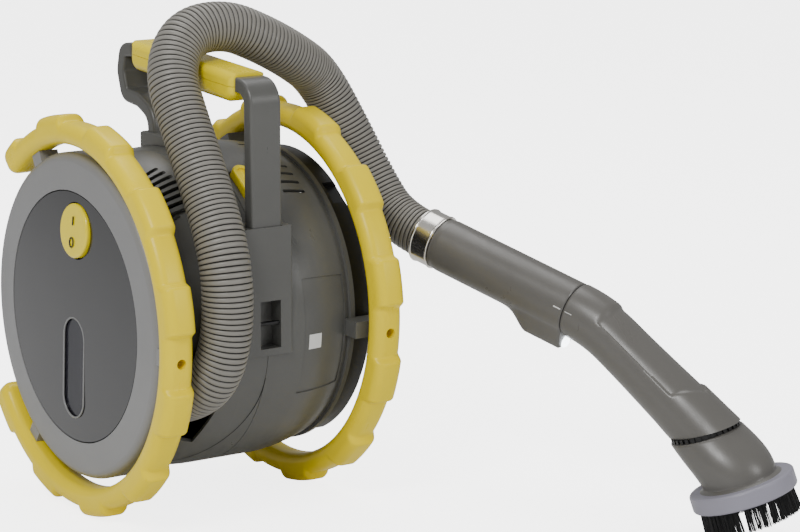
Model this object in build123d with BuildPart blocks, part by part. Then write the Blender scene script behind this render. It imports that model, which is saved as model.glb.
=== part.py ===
"""Portable drum vacuum cleaner with two roll rings, a carrying handle, a hose and a bent brush wand.

The drum's axis runs along Y, the front faces -Y, and Z is up.  The origin is on the floor under
the middle of the drum.  Everything is in millimetres and degrees.
"""
import os
from math import atan2, cos, degrees, hypot, pi, radians, sin, sqrt, tan

from build123d import *

os.makedirs("parts", exist_ok=True)

# ---------------------------------------------------------------- driving dimensions
AXIS_Z = 144.45  # height of the drum's axis over the floor

RING_CREST_R = 145.0  # roll rings
RING_THICK = 21.0
RING_WIDTH = 23.0
FRONT_RING_Y, REAR_RING_Y = -84.2, 88.6
RING_FROM, RING_TO = -148.0, 135.0
RING_EDGE = 8.0
SCOOP_DEPTH = 4.6
SCOOP_HALF = 8.2
SCOOP_STEP = 0.9
SCOOP_ANGLES = [-124.0 + 30.0 * k for k in range(9)]
SCREW_ANGLES = [-124.0, -4.0, 116.0]
SCREW_R, SCREW_HEAD_R, SCREW_SUNK = 2.0, 3.4, 14.0

DRUM_R = 116.5  # drum casing
WALL = 3.0
FRONT_Y, FRONT_R = -72.0, 101.0
SHOULDER_Y = -18.0
SEAM_Y = 1.0
DOME_Y = 30.0
DOME_END_Y, DOME_END_R = 73.5, 108.5
RIM_R, REAR_END_Y = 111.0, 77.5

COVER_R = 118.0  # front cover, panel and what sits in it
COVER_FRONT_Y = -91.2
PANEL_R = 90.8
PANEL_BACK_Y, PANEL_EDGE_Y, PANEL_CROWN_Y = -86.3, -91.0, -92.6
PANEL_LEAN, PANEL_SHIFT = 4.0, 4.0
ROCKER_UP, ROCKER_R, ROCKER_TILT = 64.0, 19.6, 4.0
WINDOW_UP, WINDOW_HIGH, WINDOW_WIDE = -37.0, 73.0, 29.0

ARM_X = 116.6  # outer face of the right arm
CHANNEL_X = 118.2  # flat channel on the right side, with the arm's seat and the strap recess
CHANNEL_Y0, CHANNEL_Y1 = -20.0, 19.5
CHANNEL_Z0, CHANNEL_Z1 = 126.0, 217.5
RECESS_Y0, RECESS_Y1 = -7.0, 9.8
RECESS_Z0, RECESS_Z1 = 131.0, 165.0
RECESS_X = 105.5

ARM_WIDTH, ARM_THICK = 25.0, 10.5  # carrying handle
ARM_FOOT_Z = 205.0
GRIP_LEFT, GRIP_RIGHT = (-47.0, 323.0), (94.0, 313.0)
GRIP_WIDE, GRIP_HIGH, GRIP_SEAM = 29.0, 21.0, 1.0
TANG_LONG, TANG_HIGH, TANG_WIDE = 12.0, 5.0, 14.0
SOCKET_X0, SOCKET_X1, SOCKET_TOP = -31.0, 26.0, 269.0

HOSE_R, HOSE_BORE_R, WELL_R = 18.0, 15.0, 20.5
HOSE_ROUTE = [
    (86, -52, 97), (108, -51, 104), (127, -47, 123), (134, -43, 157), (131, -43, 203),
    (101, -41, 250), (74, -40, 288), (50, -38, 321), (36, -18, 347), (33, 18, 351),
    (32, 50, 338), (24, 81, 323), (10, 113, 305), (20, 135, 259), (33, 146, 226),
]  # the last two points, in line with the wand, follow from WAND_START
WAND_START = Vector(76.0, 163.7, 189.0)
LAST_RUN = 27.0

WAND_HEADING = 21.2  # the wand lies in an upright plane turned this far from +X towards +Y
WAND_SLOPE = 17.8
WAND_R, WAND_BORE_R = 20.0, 16.5
COLLAR_R, COLLAR_LONG = 20.3, 16.5
JOINT_AT = 136.3
BULGE_DROP, BULGE_WIDE = 30.5, 22.0
TUBE_SLOPE, TUBE_LONG = 37.6, 109.0
BRUSH_AXIS = Vector(0.228, 0.2165, -0.949).normalized()
NECK_R = 26.3
ELBOW_SHIFT = Vector(17.9, 1.8, 4.7)
ELBOW_LONG = 40.6
BRUSH_R, FLANGE_THICK = 38.0, 12.5
BRISTLE_LONG = 18.4
TEETH, INDEX_LONG = 32, 3.0
BEND_LONG, BEND_R = 21.0, 110.0
TUBE_R0, TUBE_R1, TUBE_WALL = 20.4, 23.6, 3.9
SLEEVE_LONG = 14.0
SPIGOT_LONG = 14.0
LENS_R, LENS_DROP, LENS_LONG = 5.0, 25.6, 8.0

VENT_ANGLES = [50.0 + 4.7 * k for k in range(8)]  # air slots in the casing
PANEL_FROM, PANEL_TO, SUNK = -27.0, 16.0, 0.8  # sunk field on the rear shell
SUNK_Y0, SUNK_Y1 = 31.0, 69.0
BUTTON_ANGLE, BUTTON_Y, BUTTON_LONG, BUTTON_SHORT = 54.5, 13.5, 34.0, 15.0
BUTTON_PROUD, BUTTON_FLANGE, BUTTON_SUNK = 5.0, 9.0, 2.0
SPRING_LONG, SPRING_R, SPRING_WIRE_R, SPRING_TURNS = 9.0, 3.4, 0.5, 4.5
BAR_Z, BAR_X0, BAR_X1 = 148.5, 112.5, 116.5

CUP_R, CUP_FRONT_Y, CUP_BACK_Y = 50.0, -80.0, -24.0  # what the drum holds
BOARD_Z, BOARD_THICK = 226.0, 1.6
SHAFT_R, MOTOR_R, MOTOR_Y0, MOTOR_Y1 = 4.0, 38.0, 16.0, 62.0
FAN_R, FAN_BACK_Y, FAN_FRONT_Y, FAN_BLADES = 46.0, 10.0, -5.0, 7
SHROUD_R = 52.0
REAR_COVER_R, REAR_COVER_Y1 = 108.4, 96.5
LUG_WIDE, LUG_LONG, LUG_Y0 = 12.0, 26.0, 70.0
COVER_NOTCHES = [50.0, 170.0, 290.0]
INLET_LONG = 24.0

GAP = 0.3  # between pieces that don't touch
RUN_FIT = 0.08  # radial clearance of a running fit


# ---------------------------------------------------------------- small helpers
def at_y(y, x=0.0, z=AXIS_Z):
    """A plane across the drum's axis that faces the front, with +X right and +Z up."""
    return Plane(origin=(x, y, z), x_dir=(1, 0, 0), z_dir=(0, -1, 0))


def side_plane():
    """A plane through the drum's axis: local x is Y, local y is the radius."""
    return Plane(origin=(0, 0, AXIS_Z), x_dir=(0, 1, 0), z_dir=(1, 0, 0))


DRUM_AXIS = Axis((0, 0, AXIS_Z), (0, -1, 0))  # turning about it goes anticlockwise from the front


def polar(radius, angle):
    """Local x and y of a point at this radius and angle."""
    return (radius * cos(radians(angle)), radius * sin(radians(angle)))


def on_panel(up):
    """X and Z of a height on the front panel's leaning centreline, from the drum's axis."""
    return (PANEL_SHIFT + up * sin(radians(PANEL_LEAN)), up * cos(radians(PANEL_LEAN)))


def radial_plane(angle, radius, y):
    """A plane square to a radius of the drum, facing outwards, with local x along Y."""
    x, z = polar(radius, angle)
    return Plane(origin=(x, y, AXIS_Z + z), x_dir=(0, 1, 0), z_dir=(x, 0, z))


def sector_plane(angle):
    """A plane that holds the drum's axis: local x is the radius at this angle, local y is -Y."""
    x, z = polar(1, angle)
    return Plane(origin=(0, 0, AXIS_Z), x_dir=(x, 0, z), z_dir=(z, 0, -x))


def solid_box(low, high):
    """A box between two corners, for use outside the builders."""
    size = [b - a for a, b in zip(low, high)]
    return Pos(*low) * Box(*size, align=(Align.MIN, Align.MIN, Align.MIN))


def save(part, name):
    part.label = name
    export_step(part, f"parts/{name}.step")


# ---------------------------------------------------------------- roll rings
RING_INNER_R = RING_CREST_R - RING_THICK
SCOOP_R = RING_CREST_R - SCOOP_DEPTH
for ring_name, ring_y in (("front_ring", FRONT_RING_Y), ("rear_ring", REAR_RING_Y)):
    with BuildPart() as ring:
        with BuildSketch(sector_plane(RING_FROM)):
            with Locations((RING_CREST_R - RING_THICK / 2, -ring_y)):
                RectangleRounded(RING_THICK, RING_WIDTH, RING_EDGE)
        revolve(axis=DRUM_AXIS, revolution_arc=RING_TO - RING_FROM)
        with BuildSketch(at_y(ring_y + RING_WIDTH)):
            for middle in SCOOP_ANGLES:
                low, high = middle - SCOOP_HALF, middle + SCOOP_HALF
                with BuildLine():
                    CenterArc((0, 0), SCOOP_R, low + SCOOP_STEP, high - low - 2 * SCOOP_STEP)
                    Polyline(polar(SCOOP_R, high - SCOOP_STEP), polar(RING_CREST_R, high + SCOOP_STEP),
                             polar(RING_CREST_R + 9, high + SCOOP_STEP),
                             polar(RING_CREST_R + 9, low - SCOOP_STEP),
                             polar(RING_CREST_R, low - SCOOP_STEP), polar(SCOOP_R, low + SCOOP_STEP))
                make_face()
        extrude(amount=2 * RING_WIDTH, mode=Mode.SUBTRACT)
        for angle in SCREW_ANGLES:
            with Locations(radial_plane(angle, SCOOP_R, ring_y)):
                CounterBoreHole(SCREW_R + GAP, SCREW_HEAD_R + GAP, SCREW_SUNK, depth=RING_THICK)
    save(ring.part, ring_name)

with BuildPart() as ring_screws:
    for ring_y in (FRONT_RING_Y, REAR_RING_Y):
        for angle in SCREW_ANGLES:
            seat = RING_CREST_R - SCOOP_DEPTH - SCREW_SUNK
            with BuildSketch(radial_plane(angle, seat, ring_y)):
                Circle(SCREW_HEAD_R)
            extrude(amount=2.6)
            with BuildSketch(radial_plane(angle, seat, ring_y)):
                Circle(SCREW_R)
            extrude(amount=-(seat - COVER_R + 5))
save(ring_screws.part, "ring_screws")

# ---------------------------------------------------------------- front cover, panel and window
with BuildPart() as front_cover:
    with BuildSketch(side_plane()) as cover_profile:
        with BuildLine():
            Polyline(
                (FRONT_Y, FRONT_R + GAP), (FRONT_Y, COVER_R), (COVER_FRONT_Y + 1, COVER_R),
                (COVER_FRONT_Y, PANEL_R + 0.7), (-86, PANEL_R + 0.7), (-86, PANEL_R - 5),
                (-82, PANEL_R - 5), (-82, COVER_R - 5), (FRONT_Y - 3, COVER_R - 5),
                (FRONT_Y - 3, FRONT_R + GAP), close=True)
        make_face()
        rim = cover_profile.vertices().sort_by_distance((COVER_FRONT_Y + 1, COVER_R, 0))[0]
        fillet(rim, 6.5)
    revolve(axis=DRUM_AXIS)
    for angle in SCREW_ANGLES:
        with BuildSketch(radial_plane(angle, COVER_R - 3, -82)):
            Rectangle(15, LUG_WIDE)
        extrude(amount=RING_INNER_R - GAP - COVER_R + 3)
        with Locations(radial_plane(angle, RING_INNER_R, FRONT_RING_Y)):
            Hole(SCREW_R + 0.05, depth=RING_INNER_R - COVER_R + 6)
save(front_cover.part, "front_cover")

with BuildPart() as front_panel:
    with BuildSketch(side_plane()):
        with BuildLine():
            Line((PANEL_BACK_Y, 0), (PANEL_BACK_Y, PANEL_R))
            Line((PANEL_BACK_Y, PANEL_R), (PANEL_EDGE_Y, PANEL_R))
            TangentArc((PANEL_CROWN_Y, 0), (PANEL_EDGE_Y, PANEL_R), tangent=(0, 1))
            Line((PANEL_CROWN_Y, 0), (PANEL_BACK_Y, 0))
        make_face()
    revolve(axis=DRUM_AXIS)
    with BuildSketch(at_y(-80)):
        with Locations(on_panel(ROCKER_UP)):
            Circle(ROCKER_R + 1.0)
        with Locations(on_panel(WINDOW_UP)):
            SlotOverall(WINDOW_HIGH, WINDOW_WIDE, rotation=90 - PANEL_LEAN)
    extrude(amount=20, mode=Mode.SUBTRACT)
save(front_panel.part, "front_panel")

with BuildPart() as window_lens:
    with BuildSketch(at_y(PANEL_BACK_Y)):
        with Locations(on_panel(WINDOW_UP)):
            SlotOverall(WINDOW_HIGH - 0.6, WINDOW_WIDE - 0.6, rotation=90 - PANEL_LEAN)
    extrude(amount=4.6)
save(window_lens.part, "window_lens")

# ---------------------------------------------------------------- power rocker and its housing
rocker_x, rocker_up = on_panel(ROCKER_UP)
ROCKER_PIVOT = (rocker_x, -89.5, AXIS_Z + rocker_up)
rocker_plane = at_y(-89.5, rocker_x, AXIS_Z + rocker_up).rotated((-ROCKER_TILT, 0, 0))
with BuildPart() as power_rocker:
    with BuildSketch(rocker_plane.offset(-3.5)):
        Circle(ROCKER_R)
    extrude(amount=8.5)
    front_edge = power_rocker.edges().sort_by(Axis.Y)[0]
    fillet(front_edge, 1.6)
    with BuildSketch(rocker_plane.offset(-3.5)):
        Circle(8)
    extrude(amount=-5)
save(power_rocker.part, "power_rocker")

with BuildPart() as switch_housing:
    with BuildSketch(at_y(-60)):
        with Locations(on_panel(ROCKER_UP)):
            Circle(ROCKER_R + 4)
    extrude(amount=81.5 - 60)
    with BuildSketch(at_y(-62)):
        with Locations(on_panel(ROCKER_UP)):
            Circle(ROCKER_R + 2)
    extrude(amount=86, mode=Mode.SUBTRACT)
save(switch_housing.part, "switch_housing")

# ---------------------------------------------------------------- drum casing
def arc_through(y, flat_y, flat_r, end_y, end_r):
    """Radius at y of the arc that is level at (flat_y, flat_r) and ends at (end_y, end_r)."""
    drop, run = flat_r - end_r, end_y - flat_y
    big = (run * run + drop * drop) / (2 * drop)
    return flat_r - big + sqrt(big * big - (y - flat_y) ** 2)


def shoulder_r(y, inset=0.0):
    return arc_through(y, SHOULDER_Y, DRUM_R, FRONT_Y, FRONT_R) - inset


def dome_r(y, inset=0.0):
    return arc_through(y, DOME_Y, DRUM_R, DOME_END_Y, DOME_END_R) - inset


def route_plane(point):
    """A plane at one of the hose's route points, square to the run that leaves it."""
    run = Vector(*HOSE_ROUTE[point + 1]) - Vector(*HOSE_ROUTE[point])
    return Plane(origin=HOSE_ROUTE[point], z_dir=run.normalized())


inlet_plane = route_plane(0)
inlet_well = inlet_plane * Cylinder(WELL_R, 90)
outer_well = route_plane(1) * Cylinder(WELL_R, 100)
recess_opening = solid_box((95, RECESS_Y0 - 2, RECESS_Z0 - 2), (125, RECESS_Y1 + 2, RECESS_Z1 + 2))
spigot_y = FRONT_Y - 6
button_plane = radial_plane(BUTTON_ANGLE, DRUM_R, BUTTON_Y)
with BuildPart() as button_opening:
    with BuildSketch(button_plane.offset(-12)):
        SlotOverall(BUTTON_LONG + 1, BUTTON_SHORT + 1, rotation=90)
    extrude(amount=30)

with BuildPart() as front_shell:
    with BuildSketch(side_plane()):
        with BuildLine():
            middle = (FRONT_Y + SHOULDER_Y) / 2
            inner_front_r = FRONT_R - WALL
            Line((spigot_y, inner_front_r), (spigot_y, FRONT_R))
            Line((spigot_y, FRONT_R), (FRONT_Y, FRONT_R))
            ThreePointArc((FRONT_Y, FRONT_R), (middle, shoulder_r(middle)), (SHOULDER_Y, DRUM_R))
            Line((SHOULDER_Y, DRUM_R), (SEAM_Y - 0.2, DRUM_R))
            Line((SEAM_Y - 0.2, DRUM_R), (SEAM_Y - 0.2, DRUM_R - WALL))
            Line((SEAM_Y - 0.2, DRUM_R - WALL), (SHOULDER_Y, DRUM_R - WALL))
            ThreePointArc((SHOULDER_Y, DRUM_R - WALL), (middle, shoulder_r(middle, WALL)),
                          (FRONT_Y, inner_front_r))
            Line((FRONT_Y, inner_front_r), (spigot_y, inner_front_r))
        make_face()
    revolve(axis=DRUM_AXIS)
    for angle in VENT_ANGLES:
        with BuildSketch(radial_plane(angle, DRUM_R + 10, -44)):
            SlotOverall(20, 3.0)
        extrude(amount=-30, mode=Mode.SUBTRACT)
    add(recess_opening, mode=Mode.SUBTRACT)
    add(inlet_well, mode=Mode.SUBTRACT)
    add(outer_well, mode=Mode.SUBTRACT)
save(front_shell.part, "front_shell")

with BuildPart() as rear_shell:
    with BuildSketch(side_plane()):
        with BuildLine():
            middle = (DOME_Y + DOME_END_Y) / 2
            inner_end_r = DOME_END_R - WALL
            Line((SEAM_Y + 0.2, DRUM_R - WALL), (SEAM_Y + 0.2, DRUM_R))
            Line((SEAM_Y + 0.2, DRUM_R), (DOME_Y, DRUM_R))
            ThreePointArc((DOME_Y, DRUM_R), (middle, dome_r(middle)), (DOME_END_Y, DOME_END_R))
            Line((DOME_END_Y, DOME_END_R), (DOME_END_Y + 0.5, RIM_R))
            Line((DOME_END_Y + 0.5, RIM_R), (REAR_END_Y, RIM_R))
            Line((REAR_END_Y, RIM_R), (REAR_END_Y, inner_end_r))
            Line((REAR_END_Y, inner_end_r), (DOME_END_Y, inner_end_r))
            ThreePointArc((DOME_END_Y, inner_end_r), (middle, dome_r(middle, WALL)),
                          (DOME_Y, DRUM_R - WALL))
            Line((DOME_Y, DRUM_R - WALL), (SEAM_Y + 0.2, DRUM_R - WALL))
        make_face()
    revolve(axis=DRUM_AXIS)
    for angle in SCREW_ANGLES:
        with BuildSketch(radial_plane(angle, REAR_COVER_R + 0.6, LUG_Y0 + LUG_LONG / 2)):
            Rectangle(LUG_LONG, LUG_WIDE)
        extrude(amount=RING_INNER_R - GAP - REAR_COVER_R - 1.2)
        foot_long = REAR_END_Y - LUG_Y0
        with BuildSketch(radial_plane(angle, inner_end_r + 1, LUG_Y0 + foot_long / 2)):
            Rectangle(foot_long, LUG_WIDE)
        extrude(amount=REAR_COVER_R - inner_end_r)
        with Locations(radial_plane(angle, RING_INNER_R, REAR_RING_Y)):
            Hole(SCREW_R + 0.05, depth=RING_INNER_R - COVER_R + 6)
    for angle in VENT_ANGLES:
        with BuildSketch(radial_plane(angle, DRUM_R + 10, 50)):
            SlotOverall(20, 3.0)
        extrude(amount=-30, mode=Mode.SUBTRACT)
    add(recess_opening, mode=Mode.SUBTRACT)
    add(button_opening.part, mode=Mode.SUBTRACT)
    with BuildSketch(sector_plane(PANEL_FROM)):
        with BuildLine():
            middle = (SUNK_Y0 + SUNK_Y1) / 2
            low_a, low_m, low_b = (dome_r(y, SUNK) for y in (SUNK_Y0, middle, SUNK_Y1))
            ThreePointArc((low_a, -SUNK_Y0), (low_m, -middle), (low_b, -SUNK_Y1))
            Polyline((low_b, -SUNK_Y1), (DRUM_R + 5, -SUNK_Y1), (DRUM_R + 5, -SUNK_Y0), (low_a, -SUNK_Y0))
        make_face()
    revolve(axis=DRUM_AXIS, revolution_arc=PANEL_TO - PANEL_FROM, mode=Mode.SUBTRACT)
save(rear_shell.part, "rear_shell")

with BuildPart() as casing_joiner:
    with BuildSketch(side_plane()):
        with Locations((SEAM_Y - 2, DRUM_R - WALL - GAP - 1.5)):
            Rectangle(12, 3)
    revolve(axis=DRUM_AXIS)
    add(recess_opening, mode=Mode.SUBTRACT)
    add(inlet_well, mode=Mode.SUBTRACT)
    add(button_opening.part, mode=Mode.SUBTRACT)
save(casing_joiner.part, "casing_joiner")

channel_block = solid_box((80, CHANNEL_Y0, CHANNEL_Z0), (CHANNEL_X, CHANNEL_Y1, CHANNEL_Z1))
recess_pan = solid_box((RECESS_X - 1.5, RECESS_Y0 - 1.5, RECESS_Z0 - 1.5),
                       (CHANNEL_X, RECESS_Y1 + 1.5, RECESS_Z1 + 1.5))
recess_hollow = solid_box((RECESS_X, RECESS_Y0, RECESS_Z0), (130, RECESS_Y1, RECESS_Z1))
arm_slot = solid_box((ARM_X - ARM_THICK - GAP, -ARM_WIDTH / 2 - GAP, ARM_FOOT_Z - GAP),
                     (ARM_X + GAP, ARM_WIDTH / 2 + GAP, CHANNEL_Z1 + 1))
with BuildPart() as side_channel:
    add(channel_block)
    fillet(side_channel.edges().filter_by(Axis.Z).group_by(Axis.X)[-1], 1.2)
    with BuildSketch(at_y(60)):
        Circle(DRUM_R + GAP)
    extrude(amount=120, mode=Mode.SUBTRACT)
    add(recess_pan)
    add(recess_hollow, mode=Mode.SUBTRACT)
    add(arm_slot, mode=Mode.SUBTRACT)
save(side_channel.part, "side_channel")

with BuildPart() as strap_bar:
    with BuildSketch(Plane.XZ.offset(-RECESS_Y1)):
        with Locations(((BAR_X0 + BAR_X1) / 2, BAR_Z)):
            RectangleRounded(BAR_X1 - BAR_X0, 2.6, 1.0)
    extrude(amount=RECESS_Y1 - RECESS_Y0)
save(strap_bar.part, "strap_bar")

# ---------------------------------------------------------------- carrying handle
grip_lean = degrees(atan2(GRIP_LEFT[1] - GRIP_RIGHT[1], GRIP_RIGHT[0] - GRIP_LEFT[0]))
grip_long = hypot(GRIP_RIGHT[0] - GRIP_LEFT[0], GRIP_LEFT[1] - GRIP_RIGHT[1])
grip_mid = ((GRIP_LEFT[0] + GRIP_RIGHT[0]) / 2, 0, (GRIP_LEFT[1] + GRIP_RIGHT[1]) / 2)
along_grip = (cos(radians(grip_lean)), 0, -sin(radians(grip_lean)))
grip_plane = Plane(origin=grip_mid, x_dir=along_grip, z_dir=(0, -1, 0))
SOCKET_FOOT_Z = AXIS_Z + 116.0
left_tang = grip_plane * Pos(-grip_long / 2, 0, 0) * Box(2 * TANG_LONG, TANG_HIGH, TANG_WIDE)
right_tang = grip_plane * Pos(grip_long / 2, 0, 0) * Box(2 * TANG_LONG, TANG_HIGH, TANG_WIDE)

with BuildPart() as handle_arm_right:
    with BuildSketch(at_y(ARM_WIDTH / 2, z=0)):
        with BuildLine():
            FilletPolyline((ARM_X, ARM_FOOT_Z), (ARM_X, 319.5),
                           (GRIP_RIGHT[0] + 1.0, 321), radius=18)
            offset(amount=ARM_THICK, side=Side.LEFT)
        make_face()
    extrude(amount=ARM_WIDTH)
    fillet(handle_arm_right.edges().group_by(Axis.Y)[0], 2.2)
    fillet(handle_arm_right.edges().group_by(Axis.Y)[-1], 2.2)
    add(right_tang)
save(handle_arm_right.part, "handle_arm_right")

LEFT_ARM_LINE = [
    (GRIP_LEFT[0] - 1.0, 331.5), (-66, 330), (-71, 309), (-64, 287.5),
    (-42, 285), (-26.5, 278), (-26.5, SOCKET_FOOT_Z),
]
with BuildPart() as handle_arm_left:
    with BuildSketch(at_y(ARM_WIDTH / 2, z=0)):
        with BuildLine():
            FilletPolyline(*LEFT_ARM_LINE, radius=[12, 16, 12, 11, 11])
            offset(amount=ARM_THICK, side=Side.LEFT)
        make_face()
    extrude(amount=ARM_WIDTH)
    fillet(handle_arm_left.edges().group_by(Axis.Y)[0], 2.2)
    fillet(handle_arm_left.edges().group_by(Axis.Y)[-1], 2.2)
    add(left_tang)
save(handle_arm_left.part, "handle_arm_left")

for half_name, side in (("grip_upper", 1), ("grip_lower", -1)):
    with BuildPart() as grip:
        with BuildSketch(grip_plane.offset(-GRIP_WIDE / 2)) as grip_side:
            Rectangle(grip_long, GRIP_HIGH)
            fillet(grip_side.vertices().group_by(Axis.Y)[0], 9)
        extrude(amount=GRIP_WIDE)
        fillet(grip.edges().group_by(Axis.Y)[0], 5.5)
        fillet(grip.edges().group_by(Axis.Y)[-1], 5.5)
        with BuildSketch(grip_plane.offset(-GRIP_WIDE)):
            with Locations((0, GRIP_SEAM + side * (0.15 - GRIP_HIGH / 2))):
                Rectangle(grip_long + 10, GRIP_HIGH)
        extrude(amount=2 * GRIP_WIDE, mode=Mode.SUBTRACT)
        for end in (-1, 1):
            with BuildSketch(grip_plane.offset(-TANG_WIDE / 2 - GAP)):
                with Locations((end * grip_long / 2, 0)):
                    Rectangle(2 * (TANG_LONG + GAP), TANG_HIGH + 2 * GAP)
            extrude(amount=TANG_WIDE + 2 * GAP, mode=Mode.SUBTRACT)
    save(grip.part, half_name)

socket_block = solid_box((SOCKET_X0, -ARM_WIDTH / 2 - 3, 240), (SOCKET_X1, ARM_WIDTH / 2 + 3, SOCKET_TOP))
socket_slot = solid_box((-26.5 - GAP, -ARM_WIDTH / 2 - GAP, SOCKET_FOOT_Z - GAP),
                        (-26.5 + ARM_THICK + GAP, ARM_WIDTH / 2 + GAP, SOCKET_TOP + 1))
with BuildPart() as handle_socket:
    add(socket_block)
    with BuildSketch(at_y(60)):
        Circle(DRUM_R + GAP)
    extrude(amount=120, mode=Mode.SUBTRACT)
    fillet(handle_socket.edges().group_by(Axis.Z)[-1], 2.0)
    add(socket_slot, mode=Mode.SUBTRACT)
save(handle_socket.part, "handle_socket")

# ---------------------------------------------------------------- release button and its spring
with BuildPart() as release_button:
    with BuildSketch(button_plane.offset(-BUTTON_FLANGE)):
        SlotOverall(BUTTON_LONG - 6, BUTTON_SHORT - 5, rotation=90)
    extrude(amount=BUTTON_FLANGE)
    with BuildSketch(button_plane.offset(-4)):
        SlotOverall(BUTTON_LONG, BUTTON_SHORT, rotation=90)
    extrude(amount=4 + BUTTON_PROUD, taper=3)
    top_face = release_button.faces().sort_by_distance(button_plane.offset(40).origin)[0]
    fillet(top_face.edges(), 1.5)
    with BuildSketch(button_plane.offset(BUTTON_PROUD - BUTTON_SUNK)):
        SlotOverall(BUTTON_LONG - 8, BUTTON_SHORT - 7, rotation=90)
    extrude(amount=BUTTON_SUNK + 1, mode=Mode.SUBTRACT)
save(release_button.part, "release_button")

with BuildPart() as button_spring:
    with BuildLine(button_plane.offset(-BUTTON_FLANGE - SPRING_LONG - SPRING_WIRE_R - 0.05)) as coil:
        Helix(pitch=SPRING_LONG / SPRING_TURNS, height=SPRING_LONG, radius=SPRING_R)
    with BuildSketch(Plane(origin=coil.line @ 0, z_dir=coil.line % 0)):
        Circle(SPRING_WIRE_R)
    sweep(is_frenet=True)
save(button_spring.part, "button_spring")

# ---------------------------------------------------------------- dust cup, filter and electronics
cup_x, cup_up = on_panel(WINDOW_UP)
cup_plane = at_y(CUP_BACK_Y, cup_x, AXIS_Z + cup_up)
with BuildPart() as dust_cup:
    with BuildSketch(cup_plane):
        Circle(CUP_R)
    extrude(amount=CUP_BACK_Y - CUP_FRONT_Y)
    with BuildSketch(cup_plane):
        Circle(CUP_R - 2)
    extrude(amount=CUP_BACK_Y - CUP_FRONT_Y - 2, mode=Mode.SUBTRACT)
save(dust_cup.part, "dust_cup")

with BuildPart() as cup_filter:
    with BuildSketch(cup_plane.offset(1)):
        Circle(30)
        Circle(18, mode=Mode.SUBTRACT)
        with PolarLocations(30, 24):
            Circle(1.6, mode=Mode.SUBTRACT)
    extrude(amount=34)
save(cup_filter.part, "cup_filter")

board_plane = Plane.XY.offset(BOARD_Z)
with BuildPart() as circuit_board:
    with BuildSketch(board_plane):
        with Locations((0, -30)):
            Rectangle(60, 40)
    extrude(amount=BOARD_THICK)
    with BuildSketch(board_plane.offset(BOARD_THICK)):
        with Locations((-16, -24)):
            Rectangle(18, 14)
        with Locations((8, -36), (20, -36)):
            Circle(5)
    extrude(amount=8)
save(circuit_board.part, "circuit_board")

# ---------------------------------------------------------------- motor, fan and what holds them
with BuildPart() as motor_housing:
    with BuildSketch(at_y(MOTOR_Y1)):
        Circle(MOTOR_R)
        Circle(SHAFT_R + RUN_FIT, mode=Mode.SUBTRACT)
    extrude(amount=MOTOR_Y1 - MOTOR_Y0)
    with BuildSketch(at_y(MOTOR_Y1 - 4)):
        Circle(MOTOR_R - 3)
        Circle(SHAFT_R + 6, mode=Mode.SUBTRACT)
    extrude(amount=MOTOR_Y1 - MOTOR_Y0 - 8, mode=Mode.SUBTRACT)
save(motor_housing.part, "motor_housing")

with BuildPart() as motor_shaft:
    with BuildSketch(at_y(MOTOR_Y1 + 2)):
        Circle(SHAFT_R)
    extrude(amount=MOTOR_Y1 + 2 - FAN_FRONT_Y + 3)
save(motor_shaft.part, "motor_shaft")

with BuildPart() as fan_wheel:
    with BuildSketch(at_y(FAN_BACK_Y)):
        Circle(FAN_R)
    extrude(amount=1.5)
    with BuildSketch(at_y(FAN_BACK_Y)):
        Circle(SHAFT_R + 5)
    extrude(amount=FAN_BACK_Y - FAN_FRONT_Y)
    with BuildSketch(at_y(FAN_BACK_Y)):
        with PolarLocations(0, FAN_BLADES):
            with Locations(Location((26, 6, 0), 25)):
                Rectangle(36, 1.6)
    extrude(amount=FAN_BACK_Y - FAN_FRONT_Y)
    with BuildSketch(at_y(FAN_BACK_Y)):
        Circle(SHAFT_R)
    extrude(amount=FAN_BACK_Y - FAN_FRONT_Y, mode=Mode.SUBTRACT)
save(fan_wheel.part, "fan_wheel")

with BuildPart() as fan_shroud:
    with BuildSketch(at_y(MOTOR_Y0 - GAP)):
        Circle(SHROUD_R)
        Circle(SHAFT_R + 2, mode=Mode.SUBTRACT)
    extrude(amount=MOTOR_Y0 - GAP - FAN_FRONT_Y + 6)
    with BuildSketch(at_y(MOTOR_Y0 - 3)):
        Circle(SHROUD_R - 2.5)
    extrude(amount=MOTOR_Y0 - FAN_FRONT_Y, mode=Mode.SUBTRACT)
    with BuildSketch(at_y(0)):
        Circle(20)
    extrude(amount=20, mode=Mode.SUBTRACT)
save(fan_shroud.part, "fan_shroud")

with BuildPart() as motor_plate:
    with BuildSketch(at_y(34)):
        Circle(DRUM_R - WALL - 0.6)
        Circle(MOTOR_R + GAP, mode=Mode.SUBTRACT)
        with PolarLocations(78, 6):
            SlotOverall(44, 24, rotation=90, mode=Mode.SUBTRACT)
    extrude(amount=3)
save(motor_plate.part, "motor_plate")

# ---------------------------------------------------------------- rear cover and exhaust filter
REAR_COVER_Y0 = REAR_END_Y + GAP
with BuildPart() as rear_cover:
    with BuildSketch(side_plane()):
        with BuildLine():
            Polyline((REAR_COVER_Y0, 96), (REAR_COVER_Y0, REAR_COVER_R), (92, REAR_COVER_R),
                     (REAR_COVER_Y1, REAR_COVER_R - 5), (REAR_COVER_Y1, 0), (REAR_COVER_Y1 - 3, 0),
                     (REAR_COVER_Y1 - 3, 96), close=True)
        make_face()
    revolve(axis=DRUM_AXIS)
    with BuildSketch(at_y(REAR_COVER_Y1 + 1)):
        for angle in COVER_NOTCHES:
            with Locations(Location((*polar(REAR_COVER_R, angle), 0), angle)):
                Rectangle(12, 20)
    extrude(amount=REAR_COVER_Y1 - REAR_COVER_Y0 - 3, mode=Mode.SUBTRACT)
    with BuildSketch(at_y(REAR_COVER_Y1 + 1)):
        for row_r in (30, 45, 60, 75):
            with PolarLocations(row_r, 12, start_angle=15):
                SlotOverall(row_r * 0.36, 5, rotation=90)
    extrude(amount=8, mode=Mode.SUBTRACT)
save(rear_cover.part, "rear_cover")

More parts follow.
